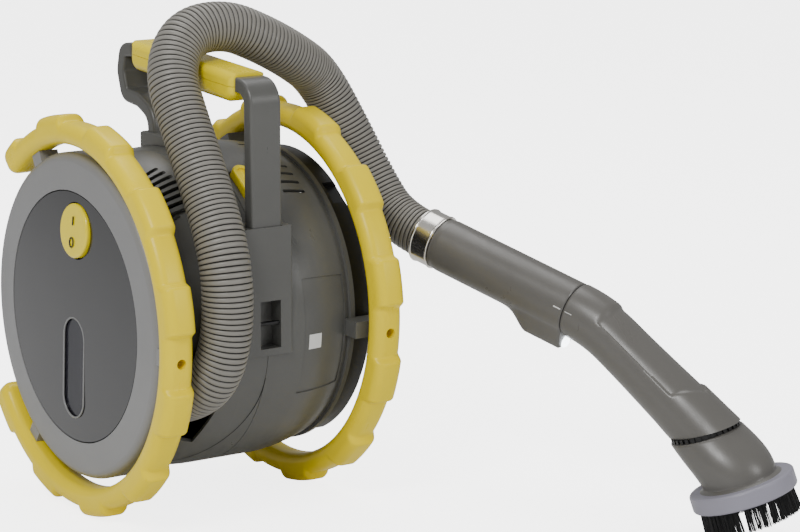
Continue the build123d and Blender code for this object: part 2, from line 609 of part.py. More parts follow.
with BuildPart() as exhaust_filter:
    with BuildSketch(at_y(78)):
        Circle(88)
    extrude(amount=10)
save(exhaust_filter.part, "exhaust_filter")

# ---------------------------------------------------------------- hose, its inlet and its collar
heading = (cos(radians(WAND_HEADING)), sin(radians(WAND_HEADING)))
wand_side = (heading[1], -heading[0], 0)
handle_way = Vector(*(cos(radians(WAND_SLOPE)) * h for h in heading), -sin(radians(WAND_SLOPE)))
tube_way = Vector(*(cos(radians(TUBE_SLOPE)) * h for h in heading), -sin(radians(TUBE_SLOPE)))
with BuildPart() as hose_inlet:
    with BuildSketch(inlet_plane.offset(-INLET_LONG)):
        Circle(HOSE_R)
        Circle(HOSE_BORE_R, mode=Mode.SUBTRACT)
    extrude(amount=INLET_LONG)
save(hose_inlet.part, "hose_inlet")


def route_radii(points):
    """Arc radius at each inner point: 0.45 of the shorter run over the tangent of half the turn."""
    radii = []
    for before, here, after in zip(points, points[1:], points[2:]):
        come, go = Vector(*here) - Vector(*before), Vector(*after) - Vector(*here)
        half_turn = radians(come.get_angle(go)) / 2
        radii.append(0.45 * min(come.length, go.length) / tan(half_turn))
    return radii


hose_route = HOSE_ROUTE + [tuple(WAND_START - handle_way * LAST_RUN), tuple(WAND_START)]
hose_radii = route_radii(hose_route)
with BuildPart() as hose:
    with BuildLine() as hose_path:
        FilletPolyline(*hose_route, radius=hose_radii)
    with BuildSketch(Plane(origin=hose_path.line @ 0, z_dir=hose_path.line % 0)):
        Circle(HOSE_R)
        Circle(HOSE_BORE_R, mode=Mode.SUBTRACT)
    sweep()
save(hose.part, "hose")
hose_long = sum(edge.length for edge in hose_path.edges())
hose_section = pi * (HOSE_R**2 - HOSE_BORE_R**2)
print("hose length", round(hose_long), "radii", [round(r) for r in hose_radii])
print("hose volume", round(hose.part.volume), "section x length", round(hose_section * hose_long))

# ---------------------------------------------------------------- wand: planes and handle
def across(along, way=handle_way, start=WAND_START):
    """A plane square to a stretch of the wand, with local x out of the wand's side and y downwards."""
    return Plane(origin=start + way * along, x_dir=wand_side, z_dir=way)


def wand_side_plane(out=0.0):
    """The wand's upright plane, moved sideways: local x runs along the handle, local y upwards."""
    return Plane(origin=WAND_START + Vector(*wand_side) * out, x_dir=handle_way, z_dir=wand_side)


SPIGOT_R = WAND_BORE_R - RUN_FIT
with BuildPart() as hose_collar:
    with BuildSketch(across(0)):
        Circle(COLLAR_R)
    extrude(amount=COLLAR_LONG)
    with BuildSketch(across(0)):
        Circle(SPIGOT_R)
    extrude(amount=COLLAR_LONG + SPIGOT_LONG)
    with BuildSketch(across(0)):
        Circle(13)
    extrude(amount=COLLAR_LONG + SPIGOT_LONG, mode=Mode.SUBTRACT)
save(hose_collar.part, "hose_collar")

HANDLE_FROM, HANDLE_TO = COLLAR_LONG + GAP, JOINT_AT - 0.2
bulge_outline = [
    (78, -WAND_R + 3), (98, -BULGE_DROP), (HANDLE_TO, -BULGE_DROP), (HANDLE_TO, -WAND_R + 4),
]
for half_name, side in (("wand_handle_left", 1), ("wand_handle_right", -1)):
    with BuildPart() as half:
        with BuildSketch(across(HANDLE_FROM)):
            Circle(WAND_R)
        extrude(amount=HANDLE_TO - HANDLE_FROM)
        with BuildSketch(wand_side_plane(-BULGE_WIDE / 2)):
            with BuildLine():
                Polyline(*bulge_outline, close=True)
            make_face()
        extrude(amount=BULGE_WIDE)
        with BuildSketch(across(HANDLE_FROM - 1)):
            Circle(WAND_BORE_R)
        extrude(amount=HANDLE_TO - HANDLE_FROM + 2, mode=Mode.SUBTRACT)
        with BuildSketch(across(HANDLE_TO - LENS_LONG)):
            with Locations((0, LENS_DROP)):
                Circle(LENS_R + 0.1)
        extrude(amount=LENS_LONG + 1, mode=Mode.SUBTRACT)
        with BuildSketch(across(0)):
            with Locations((-side * 50, 0)):
                Rectangle(100 + 0.2, 200)
        extrude(amount=200, mode=Mode.SUBTRACT)
    save(half.part, half_name)

with BuildPart() as led_lens:
    with BuildSketch(across(HANDLE_TO - LENS_LONG + 1)):
        with Locations((0, LENS_DROP)):
            Circle(LENS_R)
    extrude(amount=LENS_LONG + 1)
    fillet(led_lens.edges().sort_by_distance(across(400).origin)[0], 2.5)
save(led_lens.part, "led_lens")

# ---------------------------------------------------------------- wand: bent tube
joint_point = WAND_START + handle_way * JOINT_AT
bend_at = joint_point + handle_way * BEND_LONG
after_bend = bend_at + tube_way * BEND_LONG
tube_end = bend_at + tube_way * TUBE_LONG
end_plane = Plane(origin=tube_end, x_dir=wand_side, z_dir=BRUSH_AXIS)
with BuildPart() as wand_tube:
    with BuildLine() as bend_path:
        FilletPolyline(tuple(joint_point), tuple(bend_at), tuple(after_bend), radius=BEND_R)
    for wall, mode in ((0, Mode.ADD), (TUBE_WALL, Mode.SUBTRACT)):
        with BuildSketch(across(JOINT_AT)):
            Circle(TUBE_R0 - wall)
        sweep(path=bend_path.line, mode=mode)
        with BuildSketch(across(BEND_LONG, tube_way, bend_at)):
            Circle(TUBE_R0 - wall)
        with BuildSketch(across(TUBE_LONG + 2 * TUBE_R1, tube_way, bend_at)):
            Circle(TUBE_R1 - wall)
        loft(mode=mode)
    split(bisect_by=end_plane, keep=Keep.BOTTOM)
save(wand_tube.part, "wand_tube")

SLEEVE_R = WAND_BORE_R - RUN_FIT
with BuildPart() as twist_sleeve:
    with BuildSketch(across(JOINT_AT - SLEEVE_LONG)):
        Circle(SLEEVE_R)
        Circle(SLEEVE_R - 2.5, mode=Mode.SUBTRACT)
    extrude(amount=SLEEVE_LONG + 6)
save(twist_sleeve.part, "twist_sleeve")

# ---------------------------------------------------------------- brush head
with BuildPart() as index_ring:
    with BuildSketch(end_plane.offset(0.1)):
        Circle(NECK_R - 1.2)
        Circle(19.5, mode=Mode.SUBTRACT)
        with PolarLocations(NECK_R - 0.8, TEETH):
            Rectangle(3.2, 2.2, mode=Mode.SUBTRACT)
    extrude(amount=INDEX_LONG)
save(index_ring.part, "index_ring")

ELBOW_FROM = 0.1 + INDEX_LONG + GAP
flange_at = tube_end + BRUSH_AXIS * ELBOW_LONG + ELBOW_SHIFT


def elbow_sections(shrink):
    """Planes and radii of the elbow from the index ring to the flange."""
    middle = tube_end + BRUSH_AXIS * (ELBOW_LONG * 0.5) + ELBOW_SHIFT * 0.62
    return [
        (tube_end + BRUSH_AXIS * ELBOW_FROM, NECK_R - shrink),
        (middle, NECK_R + 1.2 - shrink),
        (flange_at, NECK_R - shrink),
    ]


with BuildPart() as brush_elbow:
    for middle, radius in elbow_sections(0):
        with BuildSketch(Plane(origin=middle, x_dir=wand_side, z_dir=BRUSH_AXIS)):
            Circle(radius)
    loft()
    for middle, radius in elbow_sections(3):
        with BuildSketch(Plane(origin=middle, x_dir=wand_side, z_dir=BRUSH_AXIS)):
            Circle(radius)
    loft(mode=Mode.SUBTRACT)
save(brush_elbow.part, "brush_elbow")

flange_plane = Plane(origin=flange_at, x_dir=wand_side, z_dir=BRUSH_AXIS)
with BuildPart() as brush_flange:
    with BuildSketch(flange_plane):
        Circle(BRUSH_R)
        Circle(NECK_R - 3, mode=Mode.SUBTRACT)
    extrude(amount=FLANGE_THICK)
    fillet(brush_flange.edges().filter_by(GeomType.CIRCLE).sort_by(SortBy.RADIUS)[-2:], 2.0)
save(brush_flange.part, "brush_flange")

with BuildPart() as bristles:
    with BuildSketch(flange_plane.offset(FLANGE_THICK)):
        Circle(BRUSH_R - 2.5)
        Circle(BRUSH_R - 9, mode=Mode.SUBTRACT)
    extrude(amount=BRISTLE_LONG)
save(bristles.part, "bristles")
print("bristles reach z", round(bristles.part.bounding_box().min.Z, 2))
print("ring reaches z", round(ring.part.bounding_box().min.Z, 2))
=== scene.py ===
from math import atan2, cos, pi, radians, sin, sqrt

import bmesh
import bpy
import numpy as np
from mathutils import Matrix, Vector


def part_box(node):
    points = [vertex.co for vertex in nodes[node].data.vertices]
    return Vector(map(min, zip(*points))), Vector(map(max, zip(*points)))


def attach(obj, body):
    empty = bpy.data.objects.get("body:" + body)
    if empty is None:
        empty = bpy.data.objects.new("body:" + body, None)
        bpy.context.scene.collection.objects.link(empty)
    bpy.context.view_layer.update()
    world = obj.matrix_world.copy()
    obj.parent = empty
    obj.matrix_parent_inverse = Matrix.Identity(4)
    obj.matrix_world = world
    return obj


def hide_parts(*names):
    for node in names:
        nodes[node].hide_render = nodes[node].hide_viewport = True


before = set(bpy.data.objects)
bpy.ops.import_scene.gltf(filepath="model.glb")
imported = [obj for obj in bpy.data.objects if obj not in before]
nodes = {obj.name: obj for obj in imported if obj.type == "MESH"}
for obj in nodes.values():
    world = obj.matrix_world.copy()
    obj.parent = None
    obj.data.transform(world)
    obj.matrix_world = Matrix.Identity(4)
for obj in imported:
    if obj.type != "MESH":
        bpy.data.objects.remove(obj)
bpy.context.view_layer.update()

# ---------------------------------------------------------------- places and sizes, in metres
panel_low, panel_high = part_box("front_panel")
AXIS_Z = (panel_low.z + panel_high.z) / 2  # height of the drum's axis
DRUM_R = 0.1165
FRONT_ROUND_Y, FRONT_DROP, FRONT_RUN = -0.018, 0.0155, 0.054  # where the front casing rounds off
REAR_ROUND_Y, REAR_DROP, REAR_RUN = 0.030, 0.0080, 0.0435  # where the rear casing rounds off
RING_CREST_R, RING_THICK, RING_WIDTH = 0.145, 0.0210, 0.0230
FRONT_RING_Y, REAR_RING_Y = -0.0842, 0.0886
RING_CORNER = 0.0074  # rounding of the ring's section
RING_FROM, RING_TO, RING_END_TURN = -148.0, 135.0, 5.0  # degrees
SCOOP_DEPTH, SCOOP_HALF, SCOOP_SLOPE = 0.0050, 7.0, 2.0  # the last two in degrees
SCOOP_ANGLES = [-124.0 + 30.0 * k for k in range(9)]
SCREW_ANGLES = [-124.0, -4.0, 116.0]

HOSE_ROUTE = [
    (0.086, -0.052, 0.097), (0.108, -0.051, 0.104), (0.127, -0.047, 0.123),
    (0.134, -0.043, 0.157), (0.131, -0.043, 0.203), (0.101, -0.041, 0.250),
    (0.074, -0.040, 0.288), (0.050, -0.038, 0.321), (0.036, -0.018, 0.347),
    (0.033, 0.018, 0.351), (0.032, 0.050, 0.338), (0.024, 0.081, 0.323),
    (0.010, 0.113, 0.305), (0.020, 0.135, 0.259), (0.033, 0.146, 0.226),
    (0.0520, 0.1544, 0.1973), (0.0760, 0.1637, 0.1890),
]
HOSE_R, RIB_PITCH, RIB_DEPTH, RIB_STEPS = 0.018, 0.0036, 0.0014, 8

WAND_START = Vector((0.0760, 0.1637, 0.1890))
WAND_HEADING, WAND_SLOPE, TUBE_SLOPE = radians(21.2), radians(17.8), radians(37.6)
HEADING = Vector((cos(WAND_HEADING), sin(WAND_HEADING), 0))
WAND_SIDE = Vector((sin(WAND_HEADING), -cos(WAND_HEADING), 0))  # towards the camera
HANDLE_WAY = HEADING * cos(WAND_SLOPE) + Vector((0, 0, -sin(WAND_SLOPE)))
TUBE_WAY = HEADING * cos(TUBE_SLOPE) + Vector((0, 0, -sin(TUBE_SLOPE)))
COLLAR_LONG, JOINT_AT, BEND_LONG, TUBE_LONG = 0.0165, 0.1363, 0.021, 0.109
WAND_R, BULGE_DROP, BULGE_HALF = 0.020, 0.0305, 0.011
BEND_AT = WAND_START + HANDLE_WAY * (JOINT_AT + BEND_LONG)
TUBE_END = BEND_AT + TUBE_WAY * TUBE_LONG
TUBE_R0, TUBE_R1 = 0.0204, 0.0236
BRUSH_AXIS = Vector((0.228, 0.2165, -0.949)).normalized()
ELBOW_LONG, ELBOW_SHIFT = 0.0406, Vector((0.0179, 0.0018, 0.0047))
FLANGE_AT = TUBE_END + BRUSH_AXIS * ELBOW_LONG + ELBOW_SHIFT
FLANGE_THICK, BRISTLE_LONG, NECK_R = 0.0125, 0.0184, 0.0263
TUFT_RING_R, TUFT_R, BRISTLE_R = 0.0318, 0.0021, 0.00032

# ---------------------------------------------------------------- camera
CAMERA_AT = Vector((1.7964, -1.0634, 0.5770))
CAMERA_WAY = Vector((-0.8040, 0.5630, -0.1913))
camera = bpy.data.objects.new("camera", bpy.data.cameras.new("camera"))
camera.data.lens, camera.data.sensor_width = 130.4, 36.0
camera.data.clip_end = 50
camera.location = CAMERA_AT
camera.rotation_euler = CAMERA_WAY.to_track_quat("-Z", "Y").to_euler()
bpy.context.scene.collection.objects.link(camera)
bpy.context.scene.camera = camera


# ---------------------------------------------------------------- materials
def srgb(red, green, blue):
    """A colour as it looks on screen, 0 to 255, in Blender's linear numbers."""
    return tuple((c / 255 / 12.92 if c < 11 else ((c / 255 + 0.055) / 1.055) ** 2.4)
                 for c in (red, green, blue)) + (1.0,)


class Nodes:
    """Short names for building one node material."""

    def __init__(self, name):
        self.material = bpy.data.materials.new(name)
        self.material.use_nodes = True
        self.tree = self.material.node_tree
        self.shader = self.tree.nodes["Principled BSDF"]
        self.place = self.tree.nodes.new("ShaderNodeTexCoord").outputs["Object"]

    def add(self, kind, links=(), **values):
        node = self.tree.nodes.new(kind)
        for key, value in values.items():
            if hasattr(node, key):
                setattr(node, key, value)
            else:
                node.inputs[key.replace("_", " ")].default_value = value
        for source, target in links:
            self.tree.links.new(source, node.inputs[target])
        return node

    def noise(self, scale, detail=3.0, roughness=0.5, stretch=None):
        place = self.place
        if stretch:
            place = self.add("ShaderNodeMapping", [(place, "Vector")], Scale=stretch).outputs[0]
        return self.add("ShaderNodeTexNoise", [(place, "Vector")], Scale=scale, Detail=detail,
                        Roughness=roughness).outputs["Fac"]

    def ramp(self, source, low, high, values):
        ramp = self.add("ShaderNodeValToRGB", [(source, "Fac")])
        ramp.color_ramp.elements[0].position, ramp.color_ramp.elements[1].position = low, high
        for element, value in zip(ramp.color_ramp.elements, values):
            element.color = value if hasattr(value, "__len__") else (value, value, value, 1)
        return ramp.outputs["Color"]

    def mix(self, factor, first, second):
        mix = self.add("ShaderNodeMix", data_type="RGBA")
        self.tree.links.new(factor, mix.inputs["Factor"])
        for value, socket in ((first, mix.inputs[6]), (second, mix.inputs[7])):
            if isinstance(value, bpy.types.NodeSocket):
                self.tree.links.new(value, socket)
            else:
                socket.default_value = value
        return mix.outputs[2]

    def to(self, source, socket):
        self.tree.links.new(source, self.shader.inputs[socket])

    def bump(self, height, strength, distance, under=None):
        links = [(height, "Height")] + ([(under, "Normal")] if under else [])
        return self.add("ShaderNodeBump", links, Strength=strength, Distance=distance).outputs[0]


def darker(colour, by):
    """The colour times a factor, which lightens it above 1."""
    return tuple(c * by for c in colour[:3]) + (1.0,)


def plastic(name, colour, rough=0.42, grain=0.25, grain_scale=1400.0, coat=0.0, specular=0.5,
            spread=0.10):
    """Moulded plastic: fine spark-eroded grain, slow shade changes, faint flow marks and scuffs."""
    n = Nodes(name)
    slow = n.noise(9.0, 4.0, 0.55)
    fine = n.noise(260.0, 5.0, 0.7)
    shade = n.mix(n.ramp(slow, 0.35, 0.68, (0.0, 1.0)), darker(colour, 1 - spread),
                  darker(colour, 1 + spread * 0.4))
    speck = n.ramp(fine, 0.30, 0.42, (1.0, 0.0))
    speck_part = n.add("ShaderNodeMath", [(speck, 0)], operation="MULTIPLY")
    speck_part.inputs[1].default_value = 0.10
    shade = n.mix(speck_part.outputs[0], shade, darker(colour, 0.72))
    n.to(shade, "Base Color")
    scuffs = n.noise(34.0, 6.0, 0.65, stretch=(1.0, 2.6, 0.7))
    n.to(n.ramp(scuffs, 0.30, 0.75, (max(rough - 0.07, 0.03), min(rough + 0.10, 1.0))), "Roughness")
    grains = n.noise(grain_scale, 2.0, 0.5)
    waves = n.noise(22.0, 2.0, 0.4)
    n.to(n.bump(grains, grain, 0.00012, n.bump(waves, 0.10, 0.0012)), "Normal")
    n.shader.inputs["Specular IOR Level"].default_value = specular
    n.shader.inputs["Coat Weight"].default_value = coat
    n.shader.inputs["Coat Roughness"].default_value = 0.06
    return n.material


def metal(name, colour, rough=0.22, brushed=True):
    """Plated or brushed metal with drawn lines, smudges and tiny pits."""
    n = Nodes(name)
    lines = n.noise(60.0, 6.0, 0.6, stretch=(1.0, 30.0, 30.0) if brushed else (1.0, 1.0, 1.0))
    smudge = n.noise(28.0, 4.0, 0.6)
    n.to(n.mix(n.ramp(smudge, 0.35, 0.7, (0.0, 1.0)), darker(colour, 0.86), colour), "Base Color")
    n.to(n.ramp(smudge, 0.3, 0.75, (rough * 0.7, rough * 1.5)), "Roughness")
    n.to(n.bump(lines, 0.12, 0.0001), "Normal")
    n.shader.inputs["Metallic"].default_value = 1.0
    return n.material


def hose_material():
    """Warm grey ribbed hose: grooves painted near black as shade, crests in the hose's own warm grey."""
    n = Nodes("hose_plastic")
    rise = n.add("ShaderNodeAttribute", attribute_name="rise").outputs["Fac"]
    crest, groove = srgb(130, 127, 120), srgb(20, 19, 18)
    slow = n.noise(16.0, 4.0, 0.6)
    tint = n.mix(n.ramp(slow, 0.35, 0.7, (0.0, 1.0)), darker(crest, 0.88), crest)
    # Painted shade: the base colour runs from the hose grey on the crests to near black deep in the
    # grooves.
    n.to(n.mix(n.ramp(rise, 0.30, 0.85, (0.0, 1.0)), groove, tint), "Base Color")
    n.to(n.ramp(n.noise(90.0, 5.0, 0.6), 0.3, 0.7, (0.34, 0.50)), "Roughness")
    n.to(n.bump(n.noise(1100.0, 2.0, 0.5), 0.18, 0.0001), "Normal")
    n.shader.inputs["Specular IOR Level"].default_value = 0.5
    return n.material


def clear_material(name, colour, alpha, rough):
    """Clear moulded plastic with a faint haze and small scratches."""
    n = Nodes(name)
    haze = n.noise(30.0, 5.0, 0.6)
    n.to(n.mix(n.ramp(haze, 0.3, 0.7, (0.0, 1.0)), darker(colour, 0.85), colour), "Base Color")
    n.to(n.ramp(haze, 0.3, 0.8, (rough, rough + 0.12)), "Roughness")
    n.to(n.bump(n.noise(300.0, 3.0, 0.6, stretch=(1.0, 1.0, 0.1)), 0.06, 0.0002), "Normal")
    n.shader.inputs["Alpha"].default_value = alpha
    return n.material


def light_material():
    """A lit lens: a pale blue-white glow, mottled all over by fine noise."""
    n = Nodes("led_glow")
    spots = n.noise(500.0, 3.0, 0.5)
    n.to(n.mix(n.ramp(spots, 0.2, 0.8, (0.0, 1.0)), (0.86, 0.93, 1, 1), (1, 1, 1, 1)), "Base Color")
    n.to(n.mix(spots, (0.80, 0.90, 1, 1), (1, 1, 1, 1)), "Emission Color")
    n.shader.inputs["Emission Strength"].default_value = 7.0
    n.shader.inputs["Roughness"].default_value = 0.15
    return n.material


YELLOW = (0.88, 0.67, 0.0, 1.0)
ring_plastic = plastic("ring_plastic", YELLOW, rough=0.33, grain=0.12, spread=0.05, specular=0.3)
grip_plastic = plastic("grip_plastic", (0.90, 0.71, 0.0, 1.0), rough=0.28, grain=0.10, spread=0.06)
switch_plastic = plastic("switch_plastic", (0.90, 0.72, 0.0, 1.0), rough=0.22, grain=0.05, coat=0.25,
                         spread=0.04)
body_plastic = plastic("body_plastic", srgb(84, 84, 81), rough=0.33, grain=0.22)
cover_plastic = plastic("cover_plastic", srgb(128, 128, 128), rough=0.34, grain=0.22, spread=0.05)
panel_plastic = plastic("panel_plastic", srgb(17, 17, 20), rough=0.13, grain=0.02, coat=0.35, spread=0.05)
dark_plastic = plastic("dark_plastic", srgb(10, 10, 10), rough=0.34, grain=0.25, specular=0.4)
black_plastic = plastic("black_plastic", srgb(14, 14, 14), rough=0.55, grain=0.2, specular=0.2)
wand_plastic = plastic("wand_plastic", srgb(96, 94, 90), rough=0.33, grain=0.22, spread=0.06)
flange_plastic = plastic("flange_plastic", srgb(140, 138, 150), rough=0.40, grain=0.25, spread=0.05)
bristle_plastic = plastic("bristle_plastic", srgb(20, 20, 21), rough=0.45, grain=0.3, specular=0.35)
mark_plastic = plastic("mark_plastic", srgb(214, 214, 212), rough=0.5, grain=0.1, spread=0.03)
mark_black = plastic("mark_black", srgb(34, 33, 24), rough=0.5, grain=0.1)
board_plastic = plastic("board_plastic", srgb(20, 92, 50), rough=0.35, grain=0.1)
filter_cloth = plastic("filter_cloth", srgb(222, 220, 212), rough=0.9, grain=0.8, grain_scale=700.0)
chrome = metal("chrome", (0.80, 0.77, 0.72, 1), rough=0.16, brushed=False)
steel = metal("steel", (0.62, 0.62, 0.62, 1), rough=0.30)
clear_plastic = clear_material("clear_plastic", srgb(44, 44, 52), 0.72, 0.10)
led_glow = light_material()
hose_plastic = hose_material()


# ---------------------------------------------------------------- mesh helpers
def make_object(name, mesh, material, body, replaced=()):
    """Links a finished mesh as a piece that rides on a body."""
    piece = bpy.data.objects.new(name, mesh)
    bpy.context.scene.collection.objects.link(piece)
    if not mesh.materials:
        mesh.materials.append(material)
    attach(piece, body)
    if replaced:
        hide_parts(*replaced)
    return piece


def shade_smooth(mesh, angle):
    """Smooth shading, with edges over this angle (degrees) left sharp."""
    mesh.polygons.foreach_set("use_smooth", [True] * len(mesh.polygons))
    mesh.set_sharp_from_angle(angle=radians(angle))


def close_loops(work, first, last):
    """Adds the walls and the two end faces between two loops of vertices."""
    for k in range(len(first)):
        m = (k + 1) % len(first)
        work.faces.new((first[k], first[m], last[m], last[k]))
    work.faces.new(first[::-1])
    work.faces.new(last)


def loft_mesh(name, rings, closed=True, caps=True, smooth=True):
    """A mesh through rings of points: rings is an array of (ring, point, xyz)."""
    rings = np.asarray(rings, float)
    count, around = rings.shape[:2]
    points = rings.reshape(-1, 3)
    faces = []
    for i in range(count - 1):
        for j in range(around if closed else around - 1):
            k = (j + 1) % around
            faces.append((i * around + j, i * around + k,
                          (i + 1) * around + k, (i + 1) * around + j))
    if caps and closed:
        faces.append(tuple(range(around))[::-1])
        faces.append(tuple(range((count - 1) * around, count * around)))
    mesh = bpy.data.meshes.new(name)
    mesh.from_pydata(points.tolist(), [], faces)
    mesh.update()
    work = bmesh.new()
    work.from_mesh(mesh)
    bmesh.ops.recalc_face_normals(work, faces=work.faces)
    work.to_mesh(mesh)
    work.free()
    if smooth:
        shade_smooth(mesh, 42)
    return mesh


def on_drum(radius, angle, y):
    """A point at this radius and angle (degrees, anticlockwise from the front) around the drum."""
    return Vector((radius * cos(radians(angle)), y, AXIS_Z + radius * sin(radians(angle))))


def carve(piece, cutters):
    """Cuts the cutter meshes out of a piece and applies the result."""
    joined = bpy.data.objects.new("cutter", cutters)
    bpy.context.scene.collection.objects.link(joined)
    modifier = piece.modifiers.new("carve", "BOOLEAN")
    modifier.object, modifier.operation, modifier.solver = joined, "DIFFERENCE", "EXACT"
    bpy.context.view_layer.update()
    seen = piece.evaluated_get(bpy.context.evaluated_depsgraph_get())
    mesh = bpy.data.meshes.new_from_object(seen)
    piece.modifiers.clear()
    piece.data = mesh
    bpy.data.objects.remove(joined)
    shade_smooth(mesh, 35)


def rod(work, start, end, radius, sides=24, tip=1.0):
    """Adds a closed round rod from start to end to a bmesh."""
    start, end = Vector(start), Vector(end)
    way = (end - start).normalized()
    side = way.orthogonal().normalized()
    up = way.cross(side)
    loops = []
    turns = [2 * pi * k / sides for k in range(sides)]
    for centre, r in ((start, radius), (end, radius * tip)):
        loops.append([work.verts.new(centre + (side * cos(turn) + up * sin(turn)) * r) for turn in turns])
    close_loops(work, *loops)


def mesh_from(work, name, smooth=True):
    """Turns a bmesh into a mesh and frees it."""
    mesh = bpy.data.meshes.new(name)
    bmesh.ops.recalc_face_normals(work, faces=work.faces)
    work.to_mesh(mesh)
    work.free()
    if smooth:
        shade_smooth(mesh, 40)
    return mesh


def tube_ring(centre, out, along, radius, sides):
    """A small circle of points around centre, in the plane of out and along."""
    return [centre + out * radius * cos(t) + along * radius * sin(t)
            for t in np.linspace(0, 2 * pi, sides, endpoint=False)]


def smooth_step(value):
    """0 below 0, 1 above 1, and a soft S between."""
    value = min(max(value, 0.0), 1.0)
    return value * value * (3 - 2 * value)


# ---------------------------------------------------------------- hose, read from one smooth line
def hose_line():
    """Evenly spaced points along the hose's NURBS line, and the line's length."""
    curve = bpy.data.curves.new("hose_line", "CURVE")
    curve.dimensions, curve.resolution_u = "3D", 24
    spline = curve.splines.new("NURBS")
    spline.points.add(len(HOSE_ROUTE) - 1)
    for point, place in zip(spline.points, HOSE_ROUTE):
        point.co = (*place, 1.0)
    spline.order_u = 3
    spline.use_endpoint_u = True
    guide = bpy.data.objects.new("hose_line", curve)
    bpy.context.scene.collection.objects.link(guide)
    bpy.context.view_layer.update()
    seen = guide.evaluated_get(bpy.context.evaluated_depsgraph_get())
    mesh = bpy.data.meshes.new_from_object(seen)
    line = np.array([v.co[:] for v in mesh.vertices])
    bpy.data.meshes.remove(mesh)
    bpy.data.objects.remove(guide)
    steps = np.r_[0, np.cumsum(np.linalg.norm(np.diff(line, axis=0), axis=1))]
    ribs = round(steps[-1] / RIB_PITCH)
    even = np.linspace(0, steps[-1], ribs * RIB_STEPS + 1)
    return np.stack([np.interp(even, steps, line[:, a]) for a in range(3)], 1), steps[-1]


def rib_radius(phase):
    """Hose radius through one rib, phase 0 to 1, with the groove at its ends."""
    rise = sqrt(max(0.0, 1 - abs(2 * phase - 1) ** 2.2))
    return HOSE_R - RIB_DEPTH * (1 - rise), rise


def make_hose():
    """The ribbed hose, with each point's height on its rib kept for the material."""
    centres, length = hose_line()
    ways = np.gradient(centres, axis=0)
    ways /= np.linalg.norm(ways, axis=1)[:, None]
    up = np.array([0.0, 0.0, 1.0])
    turns = np.linspace(0, 2 * pi, 56, endpoint=False)
    rings, rises = [], []
    for i, (centre, way) in enumerate(zip(centres, ways)):
        up = up - way * (up @ way)
        up /= np.linalg.norm(up)
        side = np.cross(way, up)
        radius, rise = rib_radius((i % RIB_STEPS) / RIB_STEPS)
        rings.append(centre + radius * (np.cos(turns)[:, None] * side + np.sin(turns)[:, None] * up))
        rises += [rise] * len(turns)
    mesh = loft_mesh("hose_ribbed", rings)
    mesh.attributes.new("rise", "FLOAT", "POINT").data.foreach_set("value", rises)
    piece = make_object("hose_ribbed", mesh, hose_plastic, "housing", ["hose"])


make_hose()


# ---------------------------------------------------------------- roll rings
def ring_section(depth, shrink):
    """Points (radius, y) around the ring's rounded section, with its outer side lowered by depth."""
    thick = RING_THICK - depth
    points = []
    for quarter, (cx, cy) in enumerate(((1, 1), (-1, 1), (-1, -1), (1, -1))):
        for k in range(9):
            turn = pi / 2 * (quarter + k / 8)
            points.append((cx * (thick / 2 - RING_CORNER) + RING_CORNER * cos(turn),
                           cy * (RING_WIDTH / 2 - RING_CORNER) + RING_CORNER * sin(turn)))
    middle = RING_CREST_R - RING_THICK + thick / 2
    return [(middle + r * shrink, y * shrink) for r, y in points]


def scoop_depth(angle):
    """How deep the grip scoops are at this angle: flat floors with soft slopes."""
    depth = 0.0
    for middle in SCOOP_ANGLES:
        away = abs(angle - middle)
        depth = max(depth, 1 - smooth_step((away - SCOOP_HALF) / SCOOP_SLOPE))
    return SCOOP_DEPTH * depth


def make_ring(name, y0, node):
    """A roll ring with rounded ends, grip scoops and screw holes."""
    rings = []
    for angle in np.arange(RING_FROM, RING_TO + 0.01, 0.375):
        end = min(angle - RING_FROM, RING_TO - angle) / RING_END_TURN
        shrink = 1.0 if end >= 1 else sqrt(max(1 - (1 - end) ** 2, 0.0004))
        section = ring_section(scoop_depth(angle), shrink)
        rings.append([on_drum(r, angle, y0 + y) for r, y in section])
    piece = make_object(name, loft_mesh(name, rings), ring_plastic, "housing", [node])
    work = bmesh.new()
    for angle in SCREW_ANGLES:
        rod(work, on_drum(0.1270, angle, y0), on_drum(0.150, angle, y0), 0.0036, 32)
    carve(piece, mesh_from(work, "ring_holes"))


make_ring("roll_ring_front", FRONT_RING_Y, "front_ring")
make_ring("roll_ring_rear", REAR_RING_Y, "rear_ring")


# ---------------------------------------------------------------- vent hoods
def hood_outline(angle, low, high, y_flat, reach):
    """Half-lens outline of a vent hood: its far edge's Y at an angle."""
    share = (angle - (low + high) / 2) / ((high - low) / 2)
    return y_flat + reach * sqrt(max(1 - abs(share) ** 3.2, 0.0))


def rounded_r(away, drop, run):
    """Radius of a casing this far past where it starts to round off, by drop over run."""
    big = (run * run + drop * drop) / (2 * drop)
    return DRUM_R - big + sqrt(max(big * big - away ** 2, 0.0))


def shoulder_r(y):
    """Radius of the front casing at y."""
    return DRUM_R if y > FRONT_ROUND_Y else rounded_r(y - FRONT_ROUND_Y, FRONT_DROP, FRONT_RUN)


def drum_r(y):
    """Radius of the casing's outside at y."""
    return shoulder_r(y) if y < REAR_ROUND_Y else rounded_r(y - REAR_ROUND_Y, REAR_DROP, REAR_RUN)


def slot_prism(work, angle, y_far, long, half_wide, lean):
    """Adds a radial prism with a slot outline that runs forward from y_far and leans by some degrees."""
    outline = []
    for k in range(20):
        turn = 2 * pi * k / 20
        along = half_wide * cos(turn) + (0 if cos(turn) > 0 else -long)
        share = min(max(-along / long, 0.0), 1.0)
        outline.append((angle + lean * share + half_wide * sin(turn) / DRUM_R * 180 / pi, y_far + along))
    loops = [[work.verts.new(on_drum(r, a, y)) for a, y in outline] for r in (0.098, 0.130)]
    close_loops(work, *loops)


